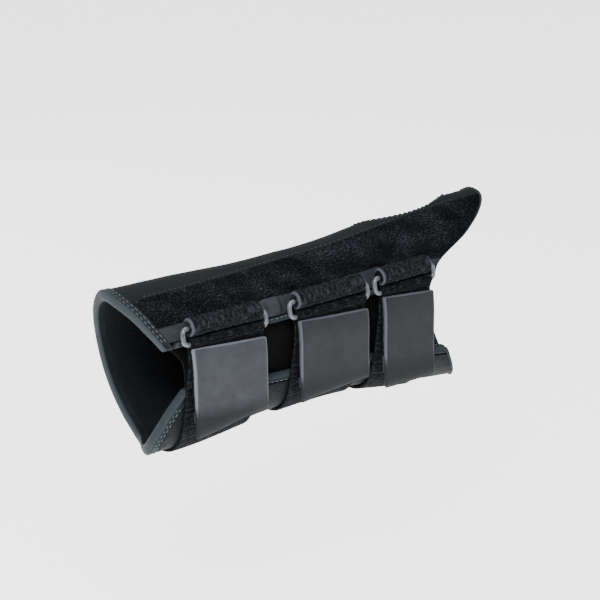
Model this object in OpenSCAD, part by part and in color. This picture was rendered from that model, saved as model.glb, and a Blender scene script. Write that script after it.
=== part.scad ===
// Wrist splint: a padded wrap for the forearm, wrist and hand, closed on the back of the hand
// by three straps that run through rings and fold back onto themselves.
// +X runs along the arm towards the fingers, -Y faces the closure, +Z is the thumb side.
// The origin is on the arm's axis, at the end of the wrap that lies on the forearm.

/* [Wrap] */
// Half depth of the wrap on the palm side, from the arm's axis to its outer face
palm_depth = 27; // [26:0.5:29]
// Total thickness of the wrap's laminate
wall = 4.6; // [4.2:0.1:5]
// Width of the tape that binds most edges
binding_w = 2.6; // [2:0.2:3]
// Width of the stitched band round the forearm end
forearm_band_w = 5.4; // [4:0.2:6]

/* [Straps] */
// Width of the two forearm and wrist straps
wide_strap_w = 38; // [34:1:38]
// Width of the hand strap
hand_strap_w = 28; // [24:1:28]
// Thickness of the strap's elastic
elastic_t = 1.4; // [1.2:0.1:1.4]
// Thickness of each pull tab
tab_t = 2.5; // [2:0.1:3]

/* [Rings] */
// Diameter of the ring's round bar
ring_bar_d = 2.2; // [2:0.1:2.2]
// Distance between the ring's two long bars
ring_reach = 7; // [7:0.1:7.4]
// Radius of the padded roll that holds the ring
roll_r = 3.6; // [3.2:0.1:3.6]

/* [Stay] */
// Length of the removable palm stay
stay_len = 160; // [140:1:160]
// Width of the palm stay
stay_w = 18; // [14:1:18]

/* [Hidden] */
$fn = 48;

// Sections of the wrap: station along the arm, height above the axis, height below it,
// and depth on the closure side. All are to the outer face.
FORM = [
    [0, 34.5, 40, 28],
    [30, 34.5, 39.5, 27],
    [70, 34, 34.5, 25.5],
    [110, 35.5, 33.5, 24.5],
    [140, 39.4, 38, 25],
    [170, 43, 42.5, 25.5],
    [204, 45.5, 45, 24.5]
];
side_bulge = 4.5; // how far the section stands out of its oval between the closure and the bottom

// Angles run round the section: 0 faces the closure, 90 the thumb side, 180 the palm.
// Each row is an angle and the wrap's end there.
FOREARM_END = [
    [22, 13], [45, 6], [80, 0], [125, 2], [180, 8],
    [240, 14], [270, 13], [300, 7], [318, 6], [335, 12], [352, 23]
];
HAND_END = [
    [20, 160], [32, 165], [46, 184], [62, 197], [80, 203], [148, 203],
    [185, 194], [260, 190], [300, 180], [336, 167], [352, 164]
];
// The angle of the lower panel's free edge, at each station along the arm
LOWER_EDGE = [[0, 352], [24, 350], [60, 342], [110, 336], [204, 330]];
// The angles of the pile's two edges: along the closure strip, and along the palm panel
PILE_START = [[0, 39], [70, 42], [125, 42], [150, 37], [170, 33], [204, 33]];
PILE_END = [[0, 68], [40, 72], [85, 80], [110, 80], [204, 80]];

upper_edge = 22; // angle of the upper panel's free edge
palm_seam = 205; // angle of the seam between the palm panel and the lower panel
seam_gap = 0.25; // half the gap at a seam between two panels, in degrees

cover_t = 1; // outer fabric
lining_t = 0.7; // inner fabric
layer_gap = 0.2; // air between two sewn layers
edge_gap = 0.3; // air between a panel's end and its binding

// Thumb opening, an oval round the section
thumb_x = 164;
thumb_a = 114;
thumb_rx = 24;
thumb_ra = 27;
deg_per_mm = 1.6; // how far round the hand section one millimetre goes

// Straps: station of the middle, width, angle where the tab ends, and the slant of that end
STRAPS = [
    [42.2, wide_strap_w, -28.5, 2],
    [98.4, wide_strap_w, -29, 2],
    [140.4, hand_strap_w, -33.5, 1.7]
];
bar_a = 23.2; // angle of the ring bar that the strap folds over
bar_o = 3.5; // height of that bar's middle above the wrap
keeper_a = bar_a + ring_reach * 1.75; // angle of the ring bar that the roll holds
keeper_o = 4.6; // height of that bar's middle above the wrap
bar_r = ring_bar_d / 2;
ring_side_gap = 1.4; // between the strap's edge and the ring's side
fold_in = bar_r + 0.3;
fold_out = fold_in + elastic_t;
leg_o = 0.4; // underside of the standing leg
end_o = leg_o + elastic_t + 0.3; // underside of the free end
tab_o = end_o + elastic_t + 0.2; // underside of the pull tab
leg_start_a = bar_a - 5.5;
leg_end_a = -118;
end_start_a = bar_a - 1;
end_end_a = -20;
tab_start_a = 18.5;
tab_slant = 2; // how far round the tab's upper edge slants, in degrees
hook_start_a = end_end_a - 1;

// Angles of the sewn-in stay's two long edges
stay_a = [60, 72];

// Palm stay and its pocket, curved across their width
stay_r = 50;
stay_t = 1.6;
stay_start = 24;
slide_gap = 0.3;
pocket_wall = 0.8;
pocket_o = 0.7;

// A smooth curve through the rows of a table, by column
function slope(t, i, c) =
    i == 0 ? (t[1][c] - t[0][c]) / (t[1][0] - t[0][0])
    : i == len(t) - 1 ? (t[i][c] - t[i - 1][c]) / (t[i][0] - t[i - 1][0])
    : (t[i + 1][c] - t[i - 1][c]) / (t[i + 1][0] - t[i - 1][0]);
function row_of(t, x, i = 0) = i >= len(t) - 2 || x < t[i + 1][0] ? i : row_of(t, x, i + 1);
function curve(t, x, c = 1) =
    let (
        q = min(max(x, t[0][0]), t[len(t) - 1][0]),
        i = row_of(t, q),
        w = t[i + 1][0] - t[i][0],
        s = (q - t[i][0]) / w
    )
    (2 * s ^ 3 - 3 * s ^ 2 + 1) * t[i][c] + (s ^ 3 - 2 * s ^ 2 + s) * w * slope(t, i, c)
    + (3 * s ^ 2 - 2 * s ^ 3) * t[i + 1][c] + (s ^ 3 - s ^ 2) * w * slope(t, i + 1, c);
function ease(s) = let (q = min(max(s, 0), 1)) q * q * (3 - 2 * q);

// The point at station x and angle a, at height o above the wrap's outer face
function at(x, a, o = 0) =
    let (
        h = curve(FORM, x, sin(a) >= 0 ? 1 : 2),
        d = cos(a) >= 0 ? curve(FORM, x, 3) : palm_depth,
        n = [-cos(a) / d, sin(a) / h],
        bulge = cos(a) > 0 && sin(a) < 0 ? side_bulge * sin(2 * a) ^ 2 : 0,
        out = (o + bulge) / norm(n)
    )
    [x, -d * cos(a) + out * n[0], h * sin(a) + out * n[1]];

function unit(v) = v / norm(v);
function forearm_end(a) = curve(FOREARM_END, a);
function hand_end(a) = curve(HAND_END, a);

// n + 1 even steps from 0 to 1, or the steps of three spans that meet at f and g
function steps(n) = [for (i = [0:n]) i / n];
function spans(f, g, n) = [
    for (i = [0:n[0] - 1]) f * i / n[0],
    for (i = [0:n[1] - 1]) f + (g - f) * i / n[1],
    for (i = [0:n[2]]) g + (1 - g) * i / n[2]
];

// A closed sheet between two faces of a grid. place(u, v) gives [x, a, low, high].
// hole = [i0, i1, j0, j1] leaves those cells of the grid open.
module sheet(us, vs, place, hole = [0, 0, 0, 0]) {
    nu = len(us) - 1;
    nv = len(vs) - 1;
    m = nv + 1;
    k = (nu + 1) * m;
    low = [for (u = us) for (v = vs) let (p = place(u, v)) at(p[0], p[1], p[2])];
    high = [for (u = us) for (v = vs) let (p = place(u, v)) at(p[0], p[1], p[3])];
    function open(i, j) = i >= hole[0] && i < hole[1] && j >= hole[2] && j < hole[3];
    function quad(a, b, c, d) = [[a, b, c], [a, c, d]];
    function low_wall(p, q) = quad(p, k + p, k + q, q);
    function high_wall(p, q) = quad(p, q, k + q, k + p);
    function along_u(i, j) = [i * m + j, (i + 1) * m + j];
    function along_v(i, j) = [i * m + j, i * m + j + 1];
    is_holed = hole[1] > hole[0];
    faces = [
        for (i = [0:nu - 1]) for (j = [0:nv - 1])
            if (!open(i, j)) let (p = i * m + j, q = p + m) each concat(
                quad(p, q, q + 1, p + 1),
                quad(k + p, k + p + 1, k + q + 1, k + q)
            ),
        for (i = [0:nu - 1]) let (e = along_u(i, 0), f = along_u(i, nv))
            each concat(low_wall(e[0], e[1]), high_wall(f[0], f[1])),
        for (j = [0:nv - 1]) let (e = along_v(0, j), f = along_v(nu, j))
            each concat(high_wall(e[0], e[1]), low_wall(f[0], f[1])),
        if (is_holed) each [
            for (i = [hole[0]:hole[1] - 1]) let (e = along_u(i, hole[3]), f = along_u(i, hole[2]))
                each concat(low_wall(e[0], e[1]), high_wall(f[0], f[1])),
            for (j = [hole[2]:hole[3] - 1]) let (e = along_v(hole[1], j), f = along_v(hole[0], j))
                each concat(high_wall(e[0], e[1]), low_wall(f[0], f[1]))
        ]
    ];
    polyhedron(points = concat(low, high), faces = faces, convexity = 8);
}

// A point of a layer between the angles that first_a(x) and last_a(x) give, and between the
// wrap's two end bindings. The station and the angle depend on each other, so it closes in on them.
start_inset = forearm_band_w + edge_gap;
inset = binding_w + edge_gap;
function layer_x(a, u) =
    let (x0 = forearm_end(a) + start_inset)
    x0 + (hand_end(a) - inset - x0) * u;
function layer_a(x, v, first_a, last_a) = first_a(x) + (last_a(x) - first_a(x)) * v;
function layer_point(u, v, first_a, last_a, x = thumb_x, n = 4) =
    let (a = layer_a(x, v, first_a, last_a), x2 = layer_x(a, u))
    n == 0 ? [x2, a] : layer_point(u, v, first_a, last_a, x2, n - 1);

module layer(nu, nv, first_a, last_a, low, high) {
    sheet(steps(nu), steps(nv), function (u, v)
        concat(layer_point(u, v, first_a, last_a), [low, high]));
}

// The same with the thumb opening left open. The grid bends round the oval.
module thumb_layer(nv, first_a, last_a, low, high_at) {
    hole_gap = 0.6;
    hole_x = thumb_rx + binding_w + hole_gap;
    hole_a = thumb_ra + (binding_w + hole_gap) * deg_per_mm;
    a0 = first_a(thumb_x);
    a1 = last_a(thumb_x);
    x0 = layer_x(thumb_a, 0);
    x1 = layer_x(thumb_a, 1);
    reach = 0.7;
    near = min(reach, (thumb_a - a0) / hole_a - 1);
    nu = [14, 8, 2];
    us = spans((thumb_x - hole_x - x0) / (x1 - x0), (thumb_x + hole_x - x0) / (x1 - x0), nu);
    vs = spans((thumb_a - hole_a - a0) / (a1 - a0), (thumb_a + hole_a - a0) / (a1 - a0), nv);
    sheet(us, vs, function (u, v)
        let (
            p = (x0 + (x1 - x0) * u - thumb_x) / hole_x,
            q = (a0 + (a1 - a0) * v - thumb_a) / hole_a,
            far = max(abs(p), abs(q)),
            fade = [ease((abs(p) - 1) / reach), ease((-q - 1) / near), ease((q - 1) / reach)],
            pull = (1 - fade[0]) * (1 - fade[1]) * (1 - fade[2]),
            f = 1 + (far / max(norm([p, q]), 0.01) - 1) * pull,
            c = layer_point(
                (thumb_x + hole_x * p * f - x0) / (x1 - x0),
                (thumb_a + hole_a * q * f - a0) / (a1 - a0),
                first_a, last_a)
        )
        [c[0], c[1], low, high_at(c[1])],
        hole = [nu[0], nu[0] + nu[1], nv[0], nv[0] + nv[1]]);
}

// The oval round the thumb opening, grown by grow millimetres, at t degrees round it
function thumb_edge(t, grow) = [
    thumb_x + (thumb_rx + grow) * cos(t),
    thumb_a + (thumb_ra + grow * deg_per_mm) * sin(t)
];

function lower_last(x) = curve(LOWER_EDGE, x) - 5;
function inner_first(x) = upper_edge + 5.5;
function pile_first(x) = curve(PILE_START, x);
function pile_last(x) = curve(PILE_END, x) - seam_gap;
function palm_first(x) = curve(PILE_END, x) + seam_gap;
function palm_last(x) = palm_seam - seam_gap;
function lower_first(x) = palm_seam + seam_gap;
function strip_last(x) = curve(PILE_START, x) - 2 * seam_gap;

module loop_panel() {
    color("#1b1c20") layer(24, 8, function (x) pile_first(x), function (x) pile_last(x), -cover_t, 0);
}

module palm_panel() {
    color("#1d272c")
        thumb_layer([1, 8, 8], function (x) palm_first(x), function (x) palm_last(x),
            -cover_t, function (a) 0);
}

module lower_panel() {
    color("#28303a") layer(24, 16, function (x) lower_first(x), function (x) lower_last(x), -cover_t, 0);
}

module closure_strip() {
    color("#39424e") layer(24, 4, function (x) inner_first(x), function (x) strip_last(x), -cover_t, 0);
}

// The foam is pressed thinner under the sewn-in stay
module foam_core() {
    low = -wall + lining_t + layer_gap;
    high = -cover_t - layer_gap;
    press = 1.3;
    margin = 6;
    color("#22242a")
        thumb_layer([7, 8, 20], function (x) inner_first(x), function (x) lower_last(x), low, function (a)
            high - press * ease((margin - max(a - stay_a[1] - margin, stay_a[0] - margin - a)) / margin));
}

module inner_lining() {
    color("#2c3038")
        thumb_layer([7, 8, 20], function (x) inner_first(x), function (x) lower_last(x), -wall, function (a)
            -wall + lining_t);
}

// An edge binding round one end of the wrap
module end_binding(place) {
    color("#3a444e") sheet(steps(2), steps(48), place);
}

module forearm_binding() {
    end_binding(function (u, v)
        let (a = upper_edge + (LOWER_EDGE[1][1] - upper_edge) * v)
        [forearm_end(a) + forearm_band_w * u, a, -wall - 0.2, 0.3]);
}

module hand_binding() {
    end_binding(function (u, v)
        let (a = upper_edge + (LOWER_EDGE[4][1] - upper_edge) * v)
        [hand_end(a) - binding_w * (1 - u), a, -wall - 0.2, 0.3]);
}

// An edge binding along one side of the closure gap
module side_binding(first_a, last_a) {
    color("#3a444e") sheet(steps(26), steps(2), function (u, v)
        let (
            margin = 1,
            near_a = layer_a(20, 0.5, first_a, last_a),
            far_a = layer_a(thumb_x, 0.5, first_a, last_a),
            x0 = forearm_end(near_a) + start_inset + margin,
            x = x0 + (hand_end(far_a) - inset - margin - x0) * u
        )
        [x, first_a(x) + (last_a(x) - first_a(x)) * v, -wall - 0.2, 0.3]);
}

module upper_closure_binding() {
    side_binding(function (x) upper_edge, function (x) upper_edge + 5);
}

module lower_closure_binding() {
    side_binding(function (x) curve(LOWER_EDGE, x) - 4.5, function (x) curve(LOWER_EDGE, x));
}

// The band round the thumb opening
module thumb_binding() {
    n = 44;
    pts = [
        for (i = [0:n - 1]) for (c = [[0, -wall - 0.2], [0, 0.3], [binding_w, 0.3], [binding_w, -wall - 0.2]])
            let (e = thumb_edge(360 * i / n, c[0])) at(e[0], e[1], c[1])
    ];
    faces = [
        for (i = [0:n - 1]) for (c = [0:3])
            let (a = i * 4, b = ((i + 1) % n) * 4, d = (c + 1) % 4)
            each [[a + c, a + d, b + d], [a + c, b + d, b + c]]
    ];
    color("#3a444e") polyhedron(points = pts, faces = faces, convexity = 6);
}

// The flap that bridges the closure gap under both edges of the wrap
module under_flap() {
    FLAP_END = [[-38, 23], [5, 24], [30, 15], [52, 12]];
    color("#15171b") sheet(steps(20), steps(14), function (u, v)
        let (
            a = -38 + 90 * v,
            x0 = curve(FLAP_END, a)
        )
        [x0 + (158 - x0) * u, a, -wall - 1.8, -wall - 0.6]);
}

// The sewn-in stay on the back of the wrist
module dorsal_stay() {
    color("#b9bdc2") sheet(steps(18), steps(2), function (u, v)
        [30 + 150 * u, stay_a[0] + (stay_a[1] - stay_a[0]) * v, -cover_t - 1.2, -cover_t - 0.3]);
}

// A curved strip across the palm, running along the arm
module palm_arc(x0, x1, low, high, w) {
    r = stay_r;
    half_a = asin(w / 2 / r);
    translate([x0, palm_depth - r, 0])
        rotate([90, 0, 90])
            linear_extrude(x1 - x0)
                intersection() {
                    difference() {
                        circle(r = r + high, $fn = 180);
                        circle(r = r + low, $fn = 180);
                    }
                    polygon([
                        [0, 0],
                        2 * r * [cos(half_a), -sin(half_a)],
                        2 * r * [cos(half_a), sin(half_a)]
                    ]);
                }
}

stay_low = pocket_o + pocket_wall + slide_gap;

module palm_stay_pocket() {
    low = stay_low - slide_gap;
    top = stay_low + stay_t + slide_gap;
    color("#262b33") difference() {
        palm_arc(stay_start - 4, stay_start + stay_len + 4, pocket_o, top + pocket_wall, stay_w + 5);
        palm_arc(stay_start - 5, stay_start + stay_len + 2, low, top, stay_w + 2 * slide_gap);
    }
}

module palm_stay() {
    color("#c3c7cc") palm_arc(stay_start + 8, stay_start + stay_len - 8, stay_low, stay_low + stay_t, stay_w);
}

// A plastic tip that ends the stay
module stay_tip(x0, x1) {
    color("#101114") palm_arc(x0, x1, stay_low - 0.15, stay_low + stay_t + 0.15, stay_w + 0.2);
}

module stay_tip_near() {
    stay_tip(stay_start, stay_start + 7.9);
}

module stay_tip_far() {
    stay_tip(stay_start + stay_len - 7.9, stay_start + stay_len);
}

// The straps. s is a row of STRAPS.
function bar_mid(s) = at(s[0], bar_a, bar_o);
function ring_x(s) = unit(at(s[0] + s[1] / 2, bar_a, bar_o) - at(s[0] - s[1] / 2, bar_a, bar_o));
function flat_to(v, e) = unit(v - (v * e) * e);
function ring_y(s) = flat_to(at(s[0], keeper_a, keeper_o) - bar_mid(s), ring_x(s));

// Places children with X along the bar, Y up round the arm and Z outwards
module framed(p, ex, ey) {
    ez = cross(ex, ey);
    multmatrix([
        [ex[0], ey[0], ez[0], p[0]],
        [ex[1], ey[1], ez[1], p[1]],
        [ex[2], ey[2], ez[2], p[2]],
        [0, 0, 0, 1]
    ]) children();
}

module rod(len, r) {
    rotate([0, 90, 0]) cylinder(h = len, r = r, center = true);
}

// A closed loop of round bar: the strap folds over one long side, the keeper holds the other
module ring(s) {
    corner = 2.4;
    half_w = s[1] / 2 + ring_side_gap;
    color("#8d919b") framed(bar_mid(s), ring_x(s), ring_y(s)) {
        for (y = [0, ring_reach]) translate([0, y, 0]) rod(2 * (half_w - corner + bar_r), bar_r);
        for (side = [-1, 1]) {
            translate([side * (half_w + bar_r), ring_reach / 2, 0])
                rotate([90, 0, 0]) cylinder(h = ring_reach - 2 * corner, r = bar_r, center = true);
            for (y = [0, 1])
                translate([side * (half_w + bar_r - corner), y ? ring_reach - corner : corner, 0])
                    rotate([0, 0, y ? (side > 0 ? 0 : 90) : (side > 0 ? 270 : 180)])
                        rotate_extrude(angle = 90) translate([corner, 0]) circle(r = bar_r);
        }
    }
}

// The padded roll that the ring turns in, with the foot under it that is sewn to the wrap
module ring_keeper(s) {
    foot_l = 5;
    roll_w = s[1] - 0.8;
    up = flat_to(at(s[0], keeper_a + 5, 0) - at(s[0], keeper_a - 5, 0), ring_x(s));
    color("#24262b") difference() {
        union() {
            framed(bar_mid(s), ring_x(s), ring_y(s)) translate([0, ring_reach, 0]) rod(roll_w, roll_r);
            framed(at(s[0], keeper_a, keeper_o / 2 + 0.3), ring_x(s), up)
                cube([roll_w - 3, foot_l, keeper_o - 0.6], center = true);
        }
        framed(bar_mid(s), ring_x(s), ring_y(s)) translate([0, ring_reach, 0]) rod(s[1] + 4, bar_r + 0.08);
    }
}

// The half turn of elastic over the ring's bar
module strap_fold(s) {
    color("#202126") framed(bar_mid(s), ring_x(s), ring_y(s))
        rotate([90, 0, 90])
            linear_extrude(s[1], center = true)
                intersection() {
                    difference() {
                        circle(r = fold_out);
                        circle(r = fold_in);
                    }
                    translate([0, -5]) square([5, 10]);
                }
}

// The standing leg, sewn to the lower panel and running up to the ring
module strap_leg(s) {
    color("#1d1e22") sheet(steps(6), steps(26), function (u, v)
        let (
            a = leg_end_a + (leg_start_a - leg_end_a) * v,
            lean = 4 * ease((bar_a - a) / 60)
        )
        [s[0] + s[1] * (u - 0.5) - lean, a, leg_o, leg_o + elastic_t]);
}

// The free end: from outside the fold it comes down onto the standing leg
module strap_end(s) {
    color("#202126") sheet(steps(6), steps(20), function (u, v)
        let (
            a = end_start_a + (end_end_a - end_start_a) * v,
            rise = (bar_o + fold_in - end_o) * ease((a - tab_start_a - 1) / (end_start_a - tab_start_a - 1))
        )
        [s[0] + s[1] * (u - 0.5), a, end_o + rise, end_o + elastic_t + rise]);
}

// The tab is stiff, so below the closure it stands away from the wrap
function stand_off(a) = let (below = max(0, -15 - a)) 0.0072 * below ^ 2;
function tab_end_a(s, u) = s[2] + s[3] * (2 * u - 1);

module hook_patch(s) {
    margin = 2;
    color("#5a5f68") sheet(steps(6), steps(8), function (u, v)
        let (a = hook_start_a + (tab_end_a(s, u) + margin - hook_start_a) * v)
        [s[0] + (s[1] - 1) * (u - 0.5), a, end_o + stand_off(a), end_o + elastic_t + stand_off(a)]);
}

module pull_tab(s) {
    color("#5b606b") sheet(steps(6), steps(20), function (u, v)
        let (
            top_a = tab_start_a - tab_slant * (2 * u - 1),
            a = top_a + (tab_end_a(s, u) - top_a) * v
        )
        [s[0] + s[1] * (u - 0.5), a, tab_o + stand_off(a), tab_o + tab_t + stand_off(a)]);
}

loop_panel();
palm_panel();
lower_panel();
closure_strip();
upper_closure_binding();
lower_closure_binding();
forearm_binding();
hand_binding();
thumb_binding();
foam_core();
inner_lining();
under_flap();
dorsal_stay();
palm_stay_pocket();
palm_stay();
stay_tip_near();
stay_tip_far();
for (i = [1:3]) {
    ring_keeper(STRAPS[i - 1]);
    ring(STRAPS[i - 1]);
    strap_leg(STRAPS[i - 1]);
    strap_fold(STRAPS[i - 1]);
    strap_end(STRAPS[i - 1]);
    hook_patch(STRAPS[i - 1]);
    pull_tab(STRAPS[i - 1]);
}
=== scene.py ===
import math

import bpy
import numpy as np
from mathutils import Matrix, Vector


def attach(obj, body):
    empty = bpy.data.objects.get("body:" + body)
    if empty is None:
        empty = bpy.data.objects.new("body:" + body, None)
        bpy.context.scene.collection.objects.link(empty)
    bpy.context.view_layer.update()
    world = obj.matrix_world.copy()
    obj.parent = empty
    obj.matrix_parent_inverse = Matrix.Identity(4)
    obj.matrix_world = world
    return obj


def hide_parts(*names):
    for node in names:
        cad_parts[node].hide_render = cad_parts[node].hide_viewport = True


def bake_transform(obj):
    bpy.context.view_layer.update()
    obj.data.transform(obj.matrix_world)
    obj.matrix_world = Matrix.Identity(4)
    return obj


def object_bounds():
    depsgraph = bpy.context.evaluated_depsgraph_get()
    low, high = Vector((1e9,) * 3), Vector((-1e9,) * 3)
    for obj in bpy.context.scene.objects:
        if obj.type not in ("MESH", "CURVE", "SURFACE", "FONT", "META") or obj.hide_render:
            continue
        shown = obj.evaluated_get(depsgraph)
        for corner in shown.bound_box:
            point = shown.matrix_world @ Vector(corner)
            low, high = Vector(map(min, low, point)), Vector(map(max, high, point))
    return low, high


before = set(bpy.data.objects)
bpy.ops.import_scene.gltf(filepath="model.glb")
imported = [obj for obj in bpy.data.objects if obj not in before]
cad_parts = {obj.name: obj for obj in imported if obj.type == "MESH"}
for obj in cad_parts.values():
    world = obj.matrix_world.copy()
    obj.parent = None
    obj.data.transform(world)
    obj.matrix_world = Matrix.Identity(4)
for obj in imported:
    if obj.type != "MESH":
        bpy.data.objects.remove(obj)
cad_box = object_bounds()

# ---------------------------------------------------------------- camera and studio

CAMERA_HEADING = math.radians(34.66)
CAMERA_DROP = math.radians(20.67)
CAMERA_DISTANCE = 0.85
CAMERA_TARGET = Vector((0.10, 0.0, 0.01))
CAMERA_LENS = 111


def make_camera():
    forward = Vector((
        math.sin(CAMERA_HEADING) * math.cos(CAMERA_DROP),
        math.cos(CAMERA_HEADING) * math.cos(CAMERA_DROP),
        -math.sin(CAMERA_DROP),
    ))
    camera = bpy.data.objects.new("camera", bpy.data.cameras.new("camera"))
    camera.data.lens = CAMERA_LENS
    camera.data.sensor_width = 36
    camera.data.clip_start = 0.01
    camera.location = CAMERA_TARGET - forward * CAMERA_DISTANCE
    camera.rotation_euler = forward.to_track_quat("-Z", "Y").to_euler()
    bpy.context.scene.collection.objects.link(camera)
    bpy.context.scene.camera = camera


def add_light(name, place, aim, size, power):
    light = bpy.data.lights.new(name, "AREA")
    light.shape = "RECTANGLE"
    light.size, light.size_y = size
    light.energy = power
    lamp = bpy.data.objects.new(name, light)
    lamp.location = place
    lamp.rotation_euler = (Vector(aim) - Vector(place)).to_track_quat("-Z", "Y").to_euler()
    bpy.context.scene.collection.objects.link(lamp)


def make_studio():
    middle = (0.1, 0, 0)
    add_light("key", (-0.25, -0.42, 0.5), (0.05, 0, 0), (0.35, 0.3), 8)
    add_light("top", (0.1, 0.15, 0.9), middle, (0.6, 0.6), 7)
    add_light("fill", (0.8, -0.7, 0.15), middle, (0.6, 0.8), 1)
    add_light("back", (0.0, 0.9, 0.3), middle, (0.8, 0.5), 3)
    world = bpy.data.worlds.new("studio")
    world.use_nodes = True
    world.node_tree.nodes["Background"].inputs["Color"].default_value = (1, 1, 1, 1)
    world.node_tree.nodes["Background"].inputs["Strength"].default_value = 0.5
    bpy.context.scene.world = world


make_camera()
make_studio()

# ---------------------------------------------------------------- the wrap's form, in millimetres

MM = 0.001
# Station, half height on the thumb side, half height on the other side, and half depth at the closure
FORM = np.array([
    [0, 34.5, 40, 28],
    [30, 34.5, 39.5, 27],
    [70, 34, 34.5, 25.5],
    [110, 35.5, 33.5, 24.5],
    [140, 39.4, 38, 25],
    [170, 43, 42.5, 25.5],
    [204, 45.5, 45, 24.5],
])
SIDE_BULGE = 4.5
PALM_DEPTH = 27
# Outlines of the two ends: angle and station. Edges and seams along the wrap: station and angle.
FOREARM_END = [
    [22, 13], [45, 6], [80, 0], [125, 2], [180, 8],
    [240, 14], [270, 13], [300, 7], [318, 6], [335, 12], [352, 23],
]
HAND_END = [
    [20, 160], [32, 165], [46, 184], [62, 197], [80, 203], [148, 203],
    [185, 194], [260, 190], [300, 180], [336, 167], [352, 164],
]
LOWER_EDGE = [[0, 352], [24, 350], [60, 342], [110, 336], [204, 330]]
PILE_START = [[0, 39], [70, 42], [125, 42], [150, 37], [170, 33], [204, 33]]
PILE_END = [[0, 68], [40, 72], [85, 80], [110, 80], [204, 80]]
UPPER_EDGE = 22
FOREARM_LAST_A, HAND_LAST_A = 350, 330
PALM_SEAM = 205
SEAM_LAP = 0.5
WALL = 4.6
BINDING = 2.6
FOREARM_BAND = 5.4
# The layers run this far into the bands round the two ends and the thumb opening
TUCK = 0.6
INSET = BINDING - TUCK
START_INSET = FOREARM_BAND - TUCK
THUMB_X, THUMB_A, THUMB_RX, THUMB_RA, DEG_PER_MM = 164, 114, 24, 27, 1.6
THUMB_GAP = BINDING - TUCK
# Straps: station of the middle, width, the angle that their lower ends are measured from, and the slant there
STRAPS = {1: (42.2, 38, -28.5, 2), 2: (98.4, 38, -29, 2), 3: (140.4, 28, -33.5, 1.7)}
BAR_A, BAR_O, RING_REACH = 23.2, 3.5, 7
KEEPER_A, KEEPER_O = BAR_A + RING_REACH * 1.75, 4.6
MM_PER_DEG = 0.585
RING_BAR = 1.1
ELASTIC = 1.4
FOLD_R = RING_BAR + 0.3 + ELASTIC / 2
LEG_MID = 0.4 + ELASTIC / 2
END_MID = 2.1 + ELASTIC / 2
TAB_T = 2.5
TAB_MID = 3.7 + TAB_T / 2
TAB_TOP_A, TAB_SLANT = 18.5, 2
# The tabs end this many degrees below that angle
TAB_DROP = 4.5
LEG_START_A, END_LAST_A, HOOK_TOP_A = -118, -20, -21


def curve(table, x, c=1):
    """A smooth curve through the rows of a table, by column."""
    t = np.asarray(table, float)
    k, y = t[:, 0], t[:, c]
    m = np.empty(len(k))
    m[1:-1] = (y[2:] - y[:-2]) / (k[2:] - k[:-2])
    m[0] = (y[1] - y[0]) / (k[1] - k[0])
    m[-1] = (y[-1] - y[-2]) / (k[-1] - k[-2])
    q = np.clip(x, k[0], k[-1])
    i = np.clip(np.searchsorted(k, q, side="right") - 1, 0, len(k) - 2)
    w = k[i + 1] - k[i]
    s = (q - k[i]) / w
    start = (2 * s**3 - 3 * s**2 + 1) * y[i] + (s**3 - 2 * s**2 + s) * w * m[i]
    end = (3 * s**2 - 2 * s**3) * y[i + 1] + (s**3 - s**2) * w * m[i + 1]
    return start + end


def ease(s):
    q = np.clip(s, 0, 1)
    return q * q * (3 - 2 * q)


def at(x, a, o=0.0):
    """Points at station x, angle a in degrees and height o above the wrap's outer face, in metres."""
    x, a, o = np.broadcast_arrays(np.asarray(x, float), a, o)
    s, c = np.sin(np.radians(a)), np.cos(np.radians(a))
    high = np.where(s >= 0, curve(FORM, x, 1), curve(FORM, x, 2))
    deep = np.where(c >= 0, curve(FORM, x, 3), PALM_DEPTH)
    n = np.stack([-c / deep, s / high], -1)
    n /= np.linalg.norm(n, axis=-1, keepdims=True)
    o = o + np.where((c > 0) & (s < 0), SIDE_BULGE * np.sin(np.radians(2 * a)) ** 2, 0)
    return np.stack([x, -deep * c + o * n[..., 0], high * s + o * n[..., 1]], -1) * MM


def out(x, a):
    """The outward direction at station x and angle a."""
    return (at(x, a, 1.0) - at(x, a, 0.0)) / MM


def unit(v):
    return v / np.linalg.norm(v, axis=-1, keepdims=True)


def noise(x, y, size, seed):
    """Smooth noise from -1 to 1 with features of the given size."""
    lattice = np.random.default_rng(seed).uniform(-1, 1, (97, 89))
    u, v = np.asarray(x) / size, np.asarray(y) / size
    i, j = np.floor(u).astype(int), np.floor(v).astype(int)
    f, g = ease(u - i), ease(v - j)

    def corner(di, dj):
        return lattice[(i + di) % 97, (j + dj) % 89]

    near = corner(0, 0) * (1 - f) + corner(1, 0) * f
    far = corner(0, 1) * (1 - f) + corner(1, 1) * f
    return near * (1 - g) + far * g


# ---------------------------------------------------------------- mesh making

RIM_STEPS = (0, 0.05, 0.2, 0.5, 1.0)
# Millimetres of cloth in one unit of its UV map
UV_MM = 100


def steps(n, length, rim):
    """Shares from 0 to 1 in n even steps, with finer ones at both ends for a rounded rim."""
    near = [r * rim / length for r in RIM_STEPS]
    far = [1 - r * rim / length for r in reversed(RIM_STEPS)]
    middle = np.linspace(near[-1], far[0], n + 1)[1:-1]
    return np.array([*near, *middle, *far])


def grid(us, vs):
    """Two arrays with every pair of a u and a v."""
    return np.meshgrid(us, vs, indexing="ij")


def spread(points, axis):
    """Distance in millimetres run along one direction of a grid of points."""
    d = np.linalg.norm(np.diff(points, axis=axis), axis=-1) / MM
    pad = [(1, 0), (0, 0)] if axis == 0 else [(0, 0), (1, 0)]
    return np.cumsum(np.pad(d, pad), axis=axis)


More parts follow.
